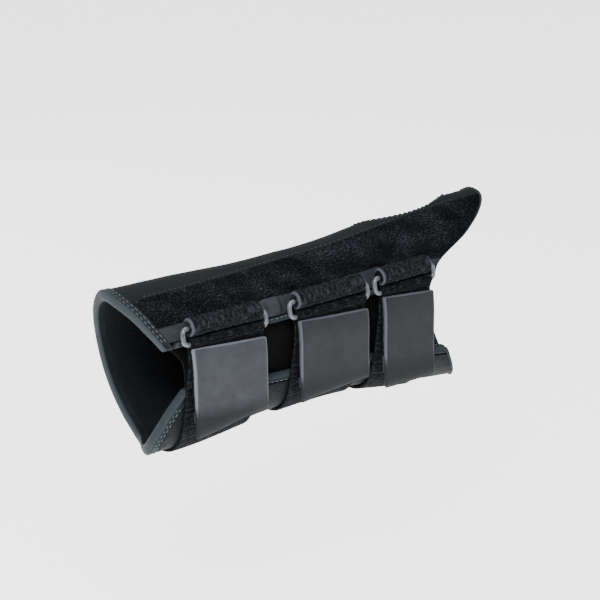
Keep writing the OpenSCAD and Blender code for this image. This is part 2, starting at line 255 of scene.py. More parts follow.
def make_object(name, points, faces, uv, edge=None):
    """A mesh object. edge is each point's distance in millimetres from the cloth's cut edge."""
    mesh = bpy.data.meshes.new(name)
    mesh.from_pydata(points.tolist(), [], faces)
    if edge is not None:
        mesh.attributes.new("edge", "FLOAT", "POINT").data.foreach_set("value", edge.astype(np.float32))
    layer = mesh.uv_layers.new(name="cloth")
    loops = np.empty(len(mesh.loops), int)
    mesh.loops.foreach_get("vertex_index", loops)
    layer.data.foreach_set("uv", uv[loops].astype(np.float32).ravel())
    mesh.shade_smooth()
    mesh.validate()
    piece = bpy.data.objects.new(name, mesh)
    bpy.context.scene.collection.objects.link(piece)
    return piece


def rounded(gap, rim):
    """The share of full thickness at a distance from the edge of a sheet with a round rim."""
    return np.sqrt(np.clip(1 - (1 - np.clip(gap / rim, 0, 1)) ** 2, 0, 1))


def slab(name, mid, normal, half, rim, lift=0, keep=None, closed_v=False, open_ends=(), edge=None,
         pucker=0.0):
    """A closed sheet round a grid of middle points, whose two faces meet in a rounded rim.

    half is half the thickness and rim the rim's radius, in millimetres. lift raises the outer face.
    keep says which cells of the grid are there. closed_v joins the last column to the first.
    open_ends names the ends ("u0", "u1", "v0", "v1") that stay square. pucker is how far the cloth
    gathers along its seams.
    """
    nu, nv = mid.shape[:2]
    along_u, along_v = spread(mid, 0), spread(mid, 1)
    if edge is None:
        gaps = [np.full((nu, nv), 20.0)]
        if "u0" not in open_ends:
            gaps.append(along_u)
        if "u1" not in open_ends:
            gaps.append(along_u[-1:] - along_u)
        if not closed_v and "v0" not in open_ends:
            gaps.append(along_v)
        if not closed_v and "v1" not in open_ends:
            gaps.append(along_v[:, -1:] - along_v)
        edge = np.minimum.reduce(gaps)
        round_off = np.ones((nu, nv))
        for gap in gaps:
            round_off = round_off * rounded(gap, rim)
    else:
        round_off = rounded(edge, rim)
    if pucker:
        from_u = np.minimum(along_u, along_u[-1:] - along_u)
        from_v = np.minimum(along_v, along_v[:, -1:] - along_v)
        run = np.where(from_u < from_v, along_v, along_u)
        wobble = np.sin(run * 1.15 + 2.2 * noise(along_u, along_v, 9, 51))
        lift = lift + pucker * wobble * np.exp(-(((edge - 2.2) / 1.6) ** 2))
    step = normal * MM
    upper = mid + step * ((half + lift) * round_off)[..., None]
    lower = mid - step * (half * round_off)[..., None]
    index = np.arange(nu * nv).reshape(nu, nv)
    cells_v = nv if closed_v else nv - 1
    if keep is None:
        keep = np.ones((nu - 1, cells_v), bool)
    i, j = np.nonzero(keep)
    jn = (j + 1) % nv
    quads = np.stack([index[i, j], index[i + 1, j], index[i + 1, jn], index[i, jn]], -1)
    shared = round_off.ravel() < 1e-6
    low_index = np.where(shared, np.arange(nu * nv), np.arange(nu * nv) + nu * nv)
    faces = [quads, low_index[quads[:, ::-1]]]
    # Walls at the ends that stay square
    sides = np.concatenate([quads[:, [0, 1]], quads[:, [1, 2]], quads[:, [2, 3]], quads[:, [3, 0]]])
    key = np.sort(sides, 1)
    _, first, count = np.unique(key, axis=0, return_index=True, return_counts=True)
    border = sides[first[count == 1]]
    square = border[~(shared[border[:, 0]] & shared[border[:, 1]])]
    if len(square):
        wall = np.stack([square[:, 1], square[:, 0], low_index[square[:, 0]], low_index[square[:, 1]]], -1)
        faces.append(wall)
    points = np.concatenate([upper.reshape(-1, 3), lower.reshape(-1, 3)])
    uv = np.stack([along_u, along_v], -1).reshape(-1, 2)
    uv = np.concatenate([uv, uv + 7.3]) / UV_MM
    edge = np.concatenate([edge.ravel(), edge.ravel()])
    faces = np.concatenate(faces)
    used = np.unique(faces)
    renumber = np.zeros(len(points), int)
    renumber[used] = np.arange(len(used))
    rows = [list(dict.fromkeys(face)) for face in renumber[faces].tolist()]
    rows = [row for row in rows if len(row) > 2]
    piece = make_object(name, points[used], rows, uv[used], edge[used])
    piece["flat_mm2"] = grid_area(mid, keep, closed_v)
    return piece


def grid_area(mid, keep, closed_v):
    """The area of the kept cells of a grid, in square millimetres."""
    if closed_v:
        mid = np.concatenate([mid, mid[:, :1]], 1)
    across, down = mid[1:, 1:] - mid[:-1, :-1], mid[1:, :-1] - mid[:-1, 1:]
    cells = np.linalg.norm(np.cross(across, down), axis=-1) / 2 / MM**2
    return float((cells * keep).sum())


# ---------------------------------------------------------------- materials


class Paint:
    """A node material on one Principled shader, with short calls for its textures."""

    def __init__(self, name, **shader):
        self.material = bpy.data.materials.new(name)
        self.material.use_nodes = True
        self.tree = self.material.node_tree
        self.shader = self.tree.nodes["Principled BSDF"]
        for key, value in shader.items():
            self.shader.inputs[key.replace("_", " ")].default_value = value

    def node(self, kind, out_name=0, settings=None, **inputs):
        made = self.tree.nodes.new(kind)
        for key, value in (settings or {}).items():
            setattr(made, key, value)
        for key, value in inputs.items():
            socket = made.inputs[int(key[1:])] if key[0] == "i" and key[1:].isdigit() else made.inputs[key]
            if isinstance(value, bpy.types.NodeSocket):
                self.tree.links.new(value, socket)
            else:
                socket.default_value = value
        return made.outputs[out_name]

    def place(self, stretch=(1, 1, 1)):
        """Position on the cloth in millimetres, stretched along each direction."""
        uv = self.node("ShaderNodeTexCoord", "UV")
        scale = tuple(UV_MM * s for s in stretch)
        return self.node("ShaderNodeVectorMath", 0, {"operation": "MULTIPLY"}, i0=uv, i1=scale)

    def solid_place(self, scale=1000):
        """Position in the object, in millimetres."""
        here = self.node("ShaderNodeTexCoord", "Object")
        return self.node("ShaderNodeVectorMath", 0, {"operation": "SCALE"}, i0=here, Scale=scale)

    def near_edge(self, low, high):
        """From 1 at the cloth's cut edge to 0 further in, in millimetres."""
        made = self.node("ShaderNodeAttribute", "Fac", {"attribute_name": "edge"})
        return self.remap(made, low, high, 1.0, 0.0)

    def blend(self, share, first, second):
        """The first colour where share is 0 and the second where it is 1."""
        made = self.tree.nodes.new("ShaderNodeMix")
        made.data_type = "RGBA"
        for socket, value in ((made.inputs[0], share), (made.inputs[6], first), (made.inputs[7], second)):
            if isinstance(value, bpy.types.NodeSocket):
                self.tree.links.new(value, socket)
            else:
                socket.default_value = value if isinstance(value, float) else (*value, 1)
        return made.outputs[2]

    def speckle(self, where, scale, detail=2.0, roughness=0.6):
        return self.node("ShaderNodeTexNoise", 0, None, Vector=where, Scale=scale, Detail=detail,
                         Roughness=roughness)

    def cells(self, where, scale):
        return self.node("ShaderNodeTexVoronoi", 0, None, Vector=where, Scale=scale)

    def math(self, operation, *values):
        inputs = {f"i{k}": value for k, value in enumerate(values)}
        return self.node("ShaderNodeMath", 0, {"operation": operation}, **inputs)

    def remap(self, value, low, high, to_low=0.0, to_high=1.0):
        made = self.tree.nodes.new("ShaderNodeMapRange")
        self.tree.links.new(value, made.inputs["Value"])
        for key, number in (("From Min", low), ("From Max", high), ("To Min", to_low), ("To Max", to_high)):
            made.inputs[key].default_value = number
        return made.outputs["Result"]

    def ramp(self, value, *stops):
        made = self.tree.nodes.new("ShaderNodeValToRGB")
        self.tree.links.new(value, made.inputs["Fac"])
        elements = made.color_ramp.elements
        while len(elements) < len(stops):
            elements.new(0.5)
        for element, (position, colour) in zip(elements, stops):
            element.position = position
            element.color = (*colour, 1)
        return made.outputs["Color"]

    def along(self, where, axis):
        """One coordinate of a place."""
        parts = self.tree.nodes.new("ShaderNodeSeparateXYZ")
        self.tree.links.new(where, parts.inputs[0])
        return parts.outputs[axis]

    def wave(self, where, axis, pitch):
        """A round rib of the given pitch in millimetres, from 0 to 1."""
        turned = self.math("MULTIPLY", self.along(where, axis), math.pi / pitch)
        return self.math("ABSOLUTE", self.math("SINE", turned))

    def colour(self, socket):
        self.tree.links.new(socket, self.shader.inputs["Base Color"])

    def rough(self, socket):
        self.tree.links.new(socket, self.shader.inputs["Roughness"])

    def bump(self, height, strength, distance):
        made = self.node("ShaderNodeBump", 0, None, Strength=strength, Distance=distance, Height=height)
        self.tree.links.new(made, self.shader.inputs["Normal"])


def grey(level, tint=(1, 1, 1)):
    """A grey of the given level, turned towards a tint."""
    return tuple(level * t for t in tint)


BLUE = (0.86, 1.0, 1.2)
SLATE = (0.9, 1.0, 1.22)
TEAL = (0.72, 1.0, 1.12)


def pile_paint():
    """Loop pile: small lighter tufts on black, in uneven patches, with a bump for each tuft."""
    p = Paint("loop_pile", Roughness=0.95, Specular_IOR_Level=0.04)
    where = p.place()
    tufts = p.speckle(where, 1.3, 2.0, 0.6)
    patches = p.speckle(where, 0.09, 2.0, 0.5)
    mix = p.math("ADD", tufts, p.math("MULTIPLY", p.math("SUBTRACT", patches, 0.5), 0.4))
    p.colour(p.ramp(mix, (0.4, grey(0.001)), (0.53, grey(0.005, BLUE)), (0.64, grey(0.017, BLUE)),
                    (0.8, grey(0.05, BLUE))))
    p.bump(p.cells(where, 1.4), 0.5, 0.0005)
    return p.material


def cloth_paint(name, level, tint, pitch=0.55, strength=0.35, roughness=0.65, vary=0.25, edge_highlight=1.0):
    """A close woven cloth: fine crossed ribs, slow changes of shade, and a painted highlight along the edge,
    or none.
    """
    p = Paint(name, Roughness=roughness, Specular_IOR_Level=0.1)
    where = p.place()
    weave = p.math("MULTIPLY", p.wave(where, "X", pitch), p.wave(where, "Y", pitch))
    shade = p.speckle(where, 0.16, 4.0, 0.6)
    both = p.math("ADD", p.math("MULTIPLY", weave, 0.35), shade)
    dark, light = 1 - vary, 1 + 1.6 * vary
    main = p.ramp(both, (0.4, grey(level * dark, tint)), (0.62, grey(level, tint)),
                  (0.9, grey(level * light, tint)))
    # Painted highlight: near its edge the cloth goes this many times lighter.
    if edge_highlight > 1:
        main = p.blend(p.near_edge(0.6, 1.3), main, grey(level * edge_highlight, tint))
    p.colour(main)
    p.rough(p.remap(shade, 0.3, 0.7, roughness - 0.08, roughness + 0.12))
    p.bump(weave, strength, 0.0003)
    return p.material


def elastic_paint(name, lift=1.0, edge_glint=False):
    """Ribbed black elastic: the ribs are in the mesh, and the knit between them is here."""
    p = Paint(name, Roughness=0.85, Specular_IOR_Level=0.05)
    where = p.place()
    knit = p.math("MULTIPLY", p.wave(where, "X", 0.45), p.wave(where, "Y", 0.8))
    shade = p.speckle(p.place((1, 0.35, 1)), 0.8, 3.0, 0.65)
    both = p.math("ADD", p.math("MULTIPLY", knit, 0.3), shade)
    main = p.ramp(both, (0.45, grey(0.001 * lift)), (0.66, grey(0.004 * lift, BLUE)),
                  (0.9, grey(0.035 * lift, BLUE)))
    # Painted highlight: near its edge the web is blended to pale slate, as glints.
    if edge_glint:
        main = p.blend(p.near_edge(0.5, 0.9), main, grey(0.06, SLATE))
    p.colour(main)
    p.bump(knit, 0.5, 0.0003)
    return p.material


def tab_paint(name, level, length):
    """Coated tab: lighter in patches and along its rim, with painted shade where its lower end turns in."""
    p = Paint(name, Roughness=0.6, Specular_IOR_Level=0.18)
    where = p.solid_place()
    shade = p.speckle(where, 0.14, 5.0, 0.6)
    grain = p.speckle(where, 2.2, 2.0, 0.6)
    both = p.math("ADD", p.math("MULTIPLY", shade, 0.75), p.math("MULTIPLY", grain, 0.25))
    main = p.ramp(both, (0.3, grey(level * 0.75, SLATE)), (0.5, grey(level, SLATE)),
                  (0.72, grey(level * 1.35, SLATE)))
    # Painted shade: the last few millimetres of the lower end, where the face turns in, go near black.
    low = p.remap(p.along(p.place(), "X"), length - 7.5, length - 1)
    # The rim is painted lighter, except along the lower end.
    edge = p.math("MULTIPLY", p.near_edge(0.3, 1.0), p.math("SUBTRACT", 1.0, low))
    p.colour(p.blend(low, p.blend(edge, main, grey(0.045 + 2.2 * level, SLATE)), grey(0.006, TEAL)))
    p.rough(p.remap(grain, 0.3, 0.7, 0.5, 0.72))
    p.bump(grain, 0.25, 0.0003)
    return p.material


def plastic_paint(name, level, tint, roughness, coat=0.0, specular=0.5):
    """Moulded plastic, slightly uneven in shade and gloss."""
    p = Paint(name, Roughness=roughness, Specular_IOR_Level=specular, Coat_Weight=coat, Coat_Roughness=0.2)
    where = p.solid_place()
    shade = p.speckle(where, 0.3, 4.0, 0.6)
    p.colour(p.ramp(shade, (0.35, grey(level * 0.8, tint)), (0.65, grey(level * 1.25, tint))))
    p.rough(p.remap(shade, 0.3, 0.7, roughness - 0.06, roughness + 0.1))
    p.bump(p.speckle(where, 3.0, 2.0), 0.08, 0.0002)
    return p.material


def metal_paint():
    """Brushed metal."""
    p = Paint("brushed_aluminium", Metallic=1.0, Roughness=0.35)
    lines = p.speckle(p.solid_place(), 1.5, 4.0, 0.7)
    p.colour(p.ramp(lines, (0.3, (0.5, 0.51, 0.53)), (0.7, (0.72, 0.73, 0.75))))
    p.rough(p.remap(lines, 0.3, 0.7, 0.25, 0.5))
    p.bump(lines, 0.1, 0.0002)
    return p.material


def foam_paint():
    """Open foam cells."""
    p = Paint("foam_cells", Roughness=0.95, Specular_IOR_Level=0.1)
    where = p.solid_place()
    cells = p.cells(where, 1.2)
    p.colour(p.ramp(cells, (0.1, grey(0.008)), (0.6, grey(0.03))))
    p.bump(cells, 0.6, 0.0004)
    return p.material


def thread_paint(name, level, tint):
    """Twisted sewing thread."""
    p = Paint(name, Roughness=0.55, Sheen_Weight=0.05, Specular_IOR_Level=0.3)
    shade = p.speckle(p.solid_place(), 1.8, 2.0)
    p.colour(p.ramp(shade, (0.3, grey(level * 0.7, tint)), (0.7, grey(level * 1.3, tint))))
    p.bump(shade, 0.3, 0.0002)
    return p.material


PAINTS = {
    "pile": pile_paint(),
    "palm": cloth_paint("palm_cloth", 0.007, TEAL, roughness=0.75, vary=0.45),
    "lower": cloth_paint("lower_cloth", 0.007, BLUE, roughness=0.65, vary=0.4),
    "strip": cloth_paint("closure_cloth", 0.022, BLUE, roughness=0.55),
    "binding": cloth_paint("binding_tape", 0.01, TEAL, pitch=0.8, roughness=0.6, edge_highlight=3.2),
    "lining": cloth_paint("brushed_lining", 0.006, BLUE, pitch=0.9, strength=0.6, roughness=0.85),
    "flap": cloth_paint("flap_cloth", 0.0015, BLUE, roughness=0.85),
    "elastic": elastic_paint("elastic_webbing"),
    "roll": elastic_paint("keeper_webbing", lift=1.5, edge_glint=True),
    "sleeve": cloth_paint("sleeve_cloth", 0.008, BLUE, roughness=0.65, edge_highlight=1.6),
    # The three tabs are one laminate: tab 1 is painted lighter as painted light, and tabs 2 and 3 darker as
    # painted shade.
    "tab_1": tab_paint("tab_laminate_1_painted_lit", 0.028, 33.5),
    "tab_2": tab_paint("tab_laminate_2_painted_shade", 0.0125, 33.5),
    "tab_3": tab_paint("tab_laminate_3_painted_shade", 0.0105, 36.5),
    "ring": plastic_paint("ring_plastic", 0.07, (0.88, 0.95, 1.18), roughness=0.3, coat=0.3),
    "tip": plastic_paint("tip_plastic", 0.008, (1, 1, 1), roughness=0.4, specular=0.3),
    "hook": plastic_paint("hook_tape", 0.025, BLUE, roughness=0.6, specular=0.3),
    "metal": metal_paint(),
    "foam": foam_paint(),
    "thread": thread_paint("light_thread", 0.06, TEAL),
    "dark_thread": thread_paint("dark_thread", 0.008, BLUE),
}


def finish_piece(piece, paint, slot, body, *nodes):
    """Paints a piece, rides it on its body, if it has just one, and hides the CAD nodes it stands for."""
    piece.data.materials.clear()
    piece.data.materials.append(PAINTS[paint])
    if body:
        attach(piece, body)
    if nodes:
        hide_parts(*nodes)
    return piece


# ---------------------------------------------------------------- the wrap's layers

# How far the outer cloths rise in slow puffs, and gather along their seams
PUFF, PUCKER = 0.22, 0.13


def layer_x(a, u):
    """The station at share u of the way from the forearm end to the hand end, at angle a."""
    start = curve(FOREARM_END, a) + START_INSET
    return start + (curve(HAND_END, a) - INSET - start) * u


def layer_point(u, v, first_a, last_a):
    """Stations and angles of a layer. Each depends on the other, so it closes in on them."""
    x = np.full(np.broadcast(u, v).shape, float(THUMB_X))
    for _ in range(5):
        a = first_a(x) + (last_a(x) - first_a(x)) * v
        x = layer_x(a, u)
    return x, a


def puff(x, a, height):
    """Slow rises and hollows of soft cloth."""
    return height * (noise(x, a * 0.6, 23, 11) + 0.5 * noise(x, a * 0.6, 9, 12))


def panel(name, us, vs, first_a, last_a, top, thick, fuzz=None, swell=None, pucker=PUCKER):
    """A layer of cloth from end to end of the wrap, between two lines of angles."""
    u, v = grid(us, vs)
    x, a = layer_point(u, v, first_a, last_a)
    rise = 0 if swell is None else swell(x, v)
    mid = at(x, a, top - thick / 2 + rise)
    lift = puff(x, a, PUFF)
    if fuzz is not None:
        lift = lift + fuzz(spread(mid, 0), spread(mid, 1))
    return slab(name, mid, out(x, a), thick / 2, 0.5, lift, pucker=pucker)


def pile_first(x):
    return curve(PILE_START, x)


def pile_last(x):
    return curve(PILE_END, x) + SEAM_LAP


def palm_first(x):
    return curve(PILE_END, x) - SEAM_LAP


def palm_last(x):
    return PALM_SEAM + SEAM_LAP + 0 * x


def lower_first(x):
    return PALM_SEAM - SEAM_LAP + 0 * x


def lower_last(x):
    return curve(LOWER_EDGE, x) - 5


def inner_first(x):
    return UPPER_EDGE + 5.5 + 0 * x


def strip_last(x):
    return curve(PILE_START, x) + 2 * SEAM_LAP


def pile_fuzz(u, v):
    """Tufts of the loop pile."""
    return 0.26 * noise(u, v, 1.3, 21) + 0.2 * noise(u, v, 0.7, 22) + 0.12 * noise(u, v, 3.1, 23)


def strip_swell(x, v):
    """The strip is drawn up between the rings, where nothing holds it down."""
    rise = np.zeros_like(x)
    edges = [STRAPS[k][0] + side * (STRAPS[k][1] / 2 + 4.1) for k in STRAPS for side in (-1, 1)]
    for start, end in ((edges[1], edges[2]), (edges[3], edges[4])):
        rise = rise + 3.0 * ease((x - start) / 2.5) * ease((end - x) / 2.5)
    return rise * np.sin(np.pi * np.clip(v, 0, 1)) ** 0.6


def thumb_spans(start, first, second, end, mm_per, cell, rim):
    """Grid lines over a hole from first to second, finer at every rim, and the hole's two lines."""
    fine = np.array(RIM_STEPS) * rim / mm_per
    inner = np.array([0.0, 0.3, 1.0]) * rim / mm_per
    near_n = max(2, round((first - start) * mm_per / cell))
    hole_n = max(6, round((second - first) * mm_per / cell))
    far_n = max(2, round((end - second) * mm_per / cell))
    near = np.linspace(start + fine[-1], first - inner[-1], near_n)[1:]
    far = np.linspace(second + inner[-1], end - fine[-1], far_n)[1:]
    lead = [start + fine, near, first - inner[::-1][1:]]
    tail = [second + inner[1:], far, end - fine[::-1][1:]]
    hole = np.linspace(first, second, hole_n + 1)[1:]
    at_first = sum(len(part) for part in lead) - 1
    return np.concatenate([*lead, hole, *tail]), at_first, at_first + hole_n


def thumb_panel(name, cell, first_a, last_a, top, thick, rim, rise=0.0, pucker=0.0):
    """A layer with the thumb opening left open: the grid bends from a square to the oval round it."""
    hole_x = THUMB_RX + THUMB_GAP
    hole_a = THUMB_RA + THUMB_GAP * DEG_PER_MM
    x0, x1 = layer_x(THUMB_A, 0), layer_x(THUMB_A, 1)
    a0, a1 = float(first_a(THUMB_X)), float(last_a(THUMB_X))

    xs, i0, i1 = thumb_spans(x0, THUMB_X - hole_x, THUMB_X + hole_x, x1, 1.0, cell, rim)
    angles, j0, j1 = thumb_spans(a0, THUMB_A - hole_a, THUMB_A + hole_a, a1, 0.62, cell, rim)
    xg, ag = grid(xs, angles)
    p, q = (xg - THUMB_X) / hole_x, (ag - THUMB_A) / hole_a
    far = np.maximum(abs(p), abs(q))
    reach = 0.7
    seam_reach = min(reach, (THUMB_A - a0) / hole_a - 1)
    hand_reach = min(reach, (x1 - THUMB_X) / hole_x - 1)
    pull = ((1 - ease((-p - 1) / reach)) * (1 - ease((p - 1) / hand_reach))
            * (1 - ease((-q - 1) / seam_reach)) * (1 - ease((q - 1) / reach)))
    f = 1 + (far / np.maximum(np.hypot(p, q), 0.01) - 1) * pull
    p, q = p * f, q * f
    x, a = layer_point((THUMB_X + hole_x * p - x0) / (x1 - x0), (THUMB_A + hole_a * q - a0) / (a1 - a0),
                       first_a, last_a)
    mid = at(x, a, top - thick / 2)
    keep = np.ones((len(xs) - 1, len(angles) - 1), bool)
    keep[i0:i1, j0:j1] = False
    along_u, along_v = spread(mid, 0), spread(mid, 1)
    outer = np.minimum.reduce([along_u, along_u[-1:] - along_u, along_v, along_v[:, -1:] - along_v])
    hole_gap = (np.hypot(p, q) - 1) * hole_x * 0.75
    on_hole = np.zeros_like(outer, bool)
    on_hole[i0:i1 + 1, j0:j1 + 1] = True
    hole_gap = np.where(on_hole, 0, np.maximum(hole_gap, 0.02))
    lift = puff(x, a, rise)
    return slab(name, mid, out(x, a), thick / 2, rim, lift, keep=keep, edge=np.minimum(outer, hole_gap),
                pucker=pucker)


pile = panel("loop_panel_cloth", steps(420, 190, 0.5), steps(80, 28, 0.5), pile_first, pile_last, 0.2, 1.2,
             fuzz=pile_fuzz)
finish_piece(pile, "pile", "pile", "wrap", "loop_panel")

palm = thumb_panel("palm_panel_cloth", 1.4, palm_first, palm_last, 0.0, 1.0, 0.4, PUFF, PUCKER)
finish_piece(palm, "palm", "palm_fabric", "wrap", "palm_panel")

lower = panel("lower_panel_cloth", steps(130, 180, 0.5), steps(80, 80, 0.5), lower_first, lower_last,
              0.0, 1.0)
finish_piece(lower, "lower", "smooth_fabric", "wrap", "lower_panel")

strip = panel("closure_strip_cloth", steps(220, 150, 0.5), steps(12, 8, 0.5), inner_first, strip_last,
              0.0, 1.0, swell=strip_swell, pucker=0.05)
finish_piece(strip, "strip", "strip", "wrap", "closure_strip")

foam = thumb_panel("foam_core_pad", 3.0, inner_first, lower_last, -2.6, 1.1, 0.4)
finish_piece(foam, "foam", "foam", "wrap", "foam_core")

lining = thumb_panel("inner_lining_cloth", 2.0, inner_first, lower_last, -3.9, 0.7, 0.3, pucker=0.05)
finish_piece(lining, "lining", "lining", "wrap", "inner_lining")

# ---------------------------------------------------------------- bindings


BAND_RIM = 1.25


def band(name, node, x_of, a_of, width, n_across, n_along, length, closed=False, ridges=0.0):
    """A tape folded over the laminate's edge, with a full round section.

    ridges is how far the two folded edges of a wide tape stand up.
    """
    us = steps(n_across, width, BAND_RIM)
    vs = np.linspace(0, 1, n_along + 1)[:-1] if closed else steps(n_along, length, 1.0)
    u, v = grid(us, vs)
    x, a = np.broadcast_arrays(x_of(u, v), a_of(u, v))
    mid = at(x, a, -WALL / 2)
    across, along = spread(mid, 0), spread(mid, 1)
    shape = np.sin(np.pi * np.clip(across / across[-1:], 0, 1))
    gathers = np.sin(along * 1.9 + 2.5 * noise(along, across, 6, 32))
    lift = 0.25 * shape + 0.06 * noise(along, across, 2.2, 31) + 0.05 * gathers * shape
    if ridges:
        rim = np.minimum(across, across[-1:] - across)
        lift = lift - 0.25 * shape + ridges * np.exp(-(((rim - 1.1) / 0.5) ** 2))
    piece = slab(name, mid, out(x, a), WALL / 2 + 0.15, BAND_RIM, lift, closed_v=closed)
    return finish_piece(piece, "binding", "binding", "wrap", node)


def along_end(v, last):
    """Angles along one end of the wrap, from the upper edge to the lower one."""
    return UPPER_EDGE + (last - UPPER_EDGE) * v


forearm_band = band(
    "forearm_binding_tape", "forearm_binding",
    lambda u, v: curve(FOREARM_END, along_end(v, FOREARM_LAST_A)) + FOREARM_BAND * u,
    lambda u, v: along_end(v, FOREARM_LAST_A) + 0 * u, FOREARM_BAND, 14, 260, 215, ridges=0.4)
hand_band = band(
    "hand_binding_tape", "hand_binding",
    lambda u, v: curve(HAND_END, along_end(v, HAND_LAST_A)) - BINDING * (1 - u),
    lambda u, v: along_end(v, HAND_LAST_A) + 0 * u, BINDING, 4, 300, 250)


def side_band(name, node, first_a, last_a, past):
    """A binding along the closure gap. past is how far it runs on towards the hand band."""
    near_a = (first_a(20.0) + last_a(20.0)) / 2
    far_a = (first_a(float(THUMB_X)) + last_a(float(THUMB_X))) / 2
    x0 = curve(FOREARM_END, near_a) + FOREARM_BAND + 1.3
    x1 = curve(HAND_END, far_a) - BINDING + past

    def x_of(u, v):
        return x0 + (x1 - x0) * v + 0 * u

    def a_of(u, v):
        x = x_of(u, v)
        return first_a(x) + (last_a(x) - first_a(x)) * u

    return band(name, node, x_of, a_of, BINDING, 4, 200, 140)


upper_band = side_band(
    "upper_closure_tape", "upper_closure_binding",
    lambda x: UPPER_EDGE + 0 * x, lambda x: UPPER_EDGE + 5 + 0 * x, past=-1.3)
lower_band = side_band(
    "lower_closure_tape", "lower_closure_binding",
    lambda x: curve(LOWER_EDGE, x) - 4.5, lambda x: curve(LOWER_EDGE, x), past=0.7)
thumb_band = band(
    "thumb_binding_tape", "thumb_binding",
    lambda u, v: THUMB_X + (THUMB_RX + BINDING * u) * np.cos(2 * np.pi * v),
    lambda u, v: THUMB_A + (THUMB_RA + BINDING * u * DEG_PER_MM) * np.sin(2 * np.pi * v),
    BINDING, 4, 200, 150, closed=True)

# ---------------------------------------------------------------- stitching


THREAD_R, STITCH_PITCH, STITCH_SHARE = 0.28, 2.6, 0.72
THREAD_SIDES = 6
# Along one stitch: how deep it sinks and how thick it is, as shares of the thread's radius
STITCH_SINK = np.array([0.9, 0.25, 0, 0, 0.25, 0.9])
STITCH_THICK = np.array([0.35, 0.9, 1, 1, 0.9, 0.35])


def stitches(name, line, paint, side=None, slot="binding"):
    """A row of short threads laid along a line of points, each sunk at its two ends."""
    gaps = np.linalg.norm(np.diff(line, axis=0), axis=1) / MM
    run = np.concatenate([[0], np.cumsum(gaps)])
    rings = len(STITCH_SINK)
    points, faces = [], []
    turns = np.radians(np.arange(THREAD_SIDES) * 360 / THREAD_SIDES)
    for k in range(int(run[-1] / STITCH_PITCH)):
        starts = (k + 0.5 * (1 - STITCH_SHARE) + np.linspace(0, STITCH_SHARE, rings)) * STITCH_PITCH
        spots = np.stack([np.interp(starts, run, line[:, c]) for c in range(3)], -1)
        along = unit(spots[-1] - spots[0])
        up = side if side is not None else unit(np.array([0, spots[2, 1], spots[2, 2]]))
        up = unit(up - (up @ along) * along)
        over = np.cross(along, up)
        base = len(points)
        for spot, down, r in zip(spots, STITCH_SINK * THREAD_R, STITCH_THICK * THREAD_R):
            for turn in turns:
                shift = up * (math.sin(turn) * r * 0.8 - down) + over * math.cos(turn) * r
                points.append(spot + shift * MM)
        for i in range(rings - 1):
            here, there = base + i * THREAD_SIDES, base + (i + 1) * THREAD_SIDES
            for j in range(THREAD_SIDES):
                n = (j + 1) % THREAD_SIDES
                faces.append([here + j, here + n, there + n, there + j])
        faces.append([base + j for j in reversed(range(THREAD_SIDES))])
        faces.append([there + j for j in range(THREAD_SIDES)])
    points = np.array(points)
    piece = make_object(name, points, faces, np.zeros((len(points), 2)))
    return finish_piece(piece, paint, slot, "wrap")


def seam(name, x, a, o, paint="dark_thread", slot="binding"):
    """A row of stitches on the wrap, at stations x, angles a and height o."""
    return stitches(name, at(x, a, o), paint, slot=slot)


end_v = np.linspace(0.02, 0.98, 400)
end_a = along_end(end_v, FOREARM_LAST_A)
for number, inset in ((1, 1.9), (2, FOREARM_BAND - 1.9)):
    seam(f"forearm_band_stitching_{number}", curve(FOREARM_END, end_a) + inset, end_a, 0.32, "thread")
end_a = along_end(end_v, HAND_LAST_A)
seam("hand_band_stitching", curve(HAND_END, end_a) - BINDING + 0.9, end_a, 0.5)
seam_t = np.linspace(0, 360, 300)
seam("thumb_band_stitching", THUMB_X + (THUMB_RX + BINDING - 0.9) * np.cos(np.radians(seam_t)),
     THUMB_A + (THUMB_RA + (BINDING - 0.9) * DEG_PER_MM) * np.sin(np.radians(seam_t)), 0.5)
seam_x = np.linspace(26, 155, 300)
seam("upper_closure_stitching", seam_x, UPPER_EDGE + 3.4 + 0 * seam_x, 0.5, "thread")
seam("lower_closure_stitching", seam_x + 6, curve(LOWER_EDGE, seam_x + 6) - 2.9, 0.5, "thread")
seam_x = np.linspace(12, 186, 400)
seam("pile_seam_stitching", seam_x, curve(PILE_END, seam_x) + 2.2, 0.12)
seam("lower_seam_stitching", np.linspace(18, 188, 400), PALM_SEAM + 2.4 + 0 * seam_x, 0.12)

# ---------------------------------------------------------------- the flap under the closure

# Angle and station of the flap's forearm end, and the station of its straight hand end
FLAP_END = [[-38, 23], [5, 24], [30, 15], [52, 12]]
FLAP_LAST_X = 158


def closure_flap():
    u, v = grid(steps(80, 130, 0.4), steps(36, 46, 0.4))
    first_a, last_a = FLAP_END[0][0], FLAP_END[-1][0]
    a = first_a + (last_a - first_a) * v
    start = curve(FLAP_END, a)
    x = start + (FLAP_LAST_X - start) * u
    piece = slab("under_flap_cloth", at(x, a, -WALL - 1.2), out(x, a), 0.6, 0.4, 0.15 * noise(x, a, 14, 41))
    finish_piece(piece, "flap", "flap", "wrap", "under_flap")


closure_flap()

# ---------------------------------------------------------------- straps

# Pitch of the elastic's ribs, and the radius of a strap's sewn and folded edges
RIB = 1.9
STRAP_RIM = 0.6
# The legs lean this far towards the elbow on their way round
LEG_LEAN = 4
ROLL_R, ROLL_NEAR_R, ROLL_SHOULDER = 4.3, 3.8, 1.3


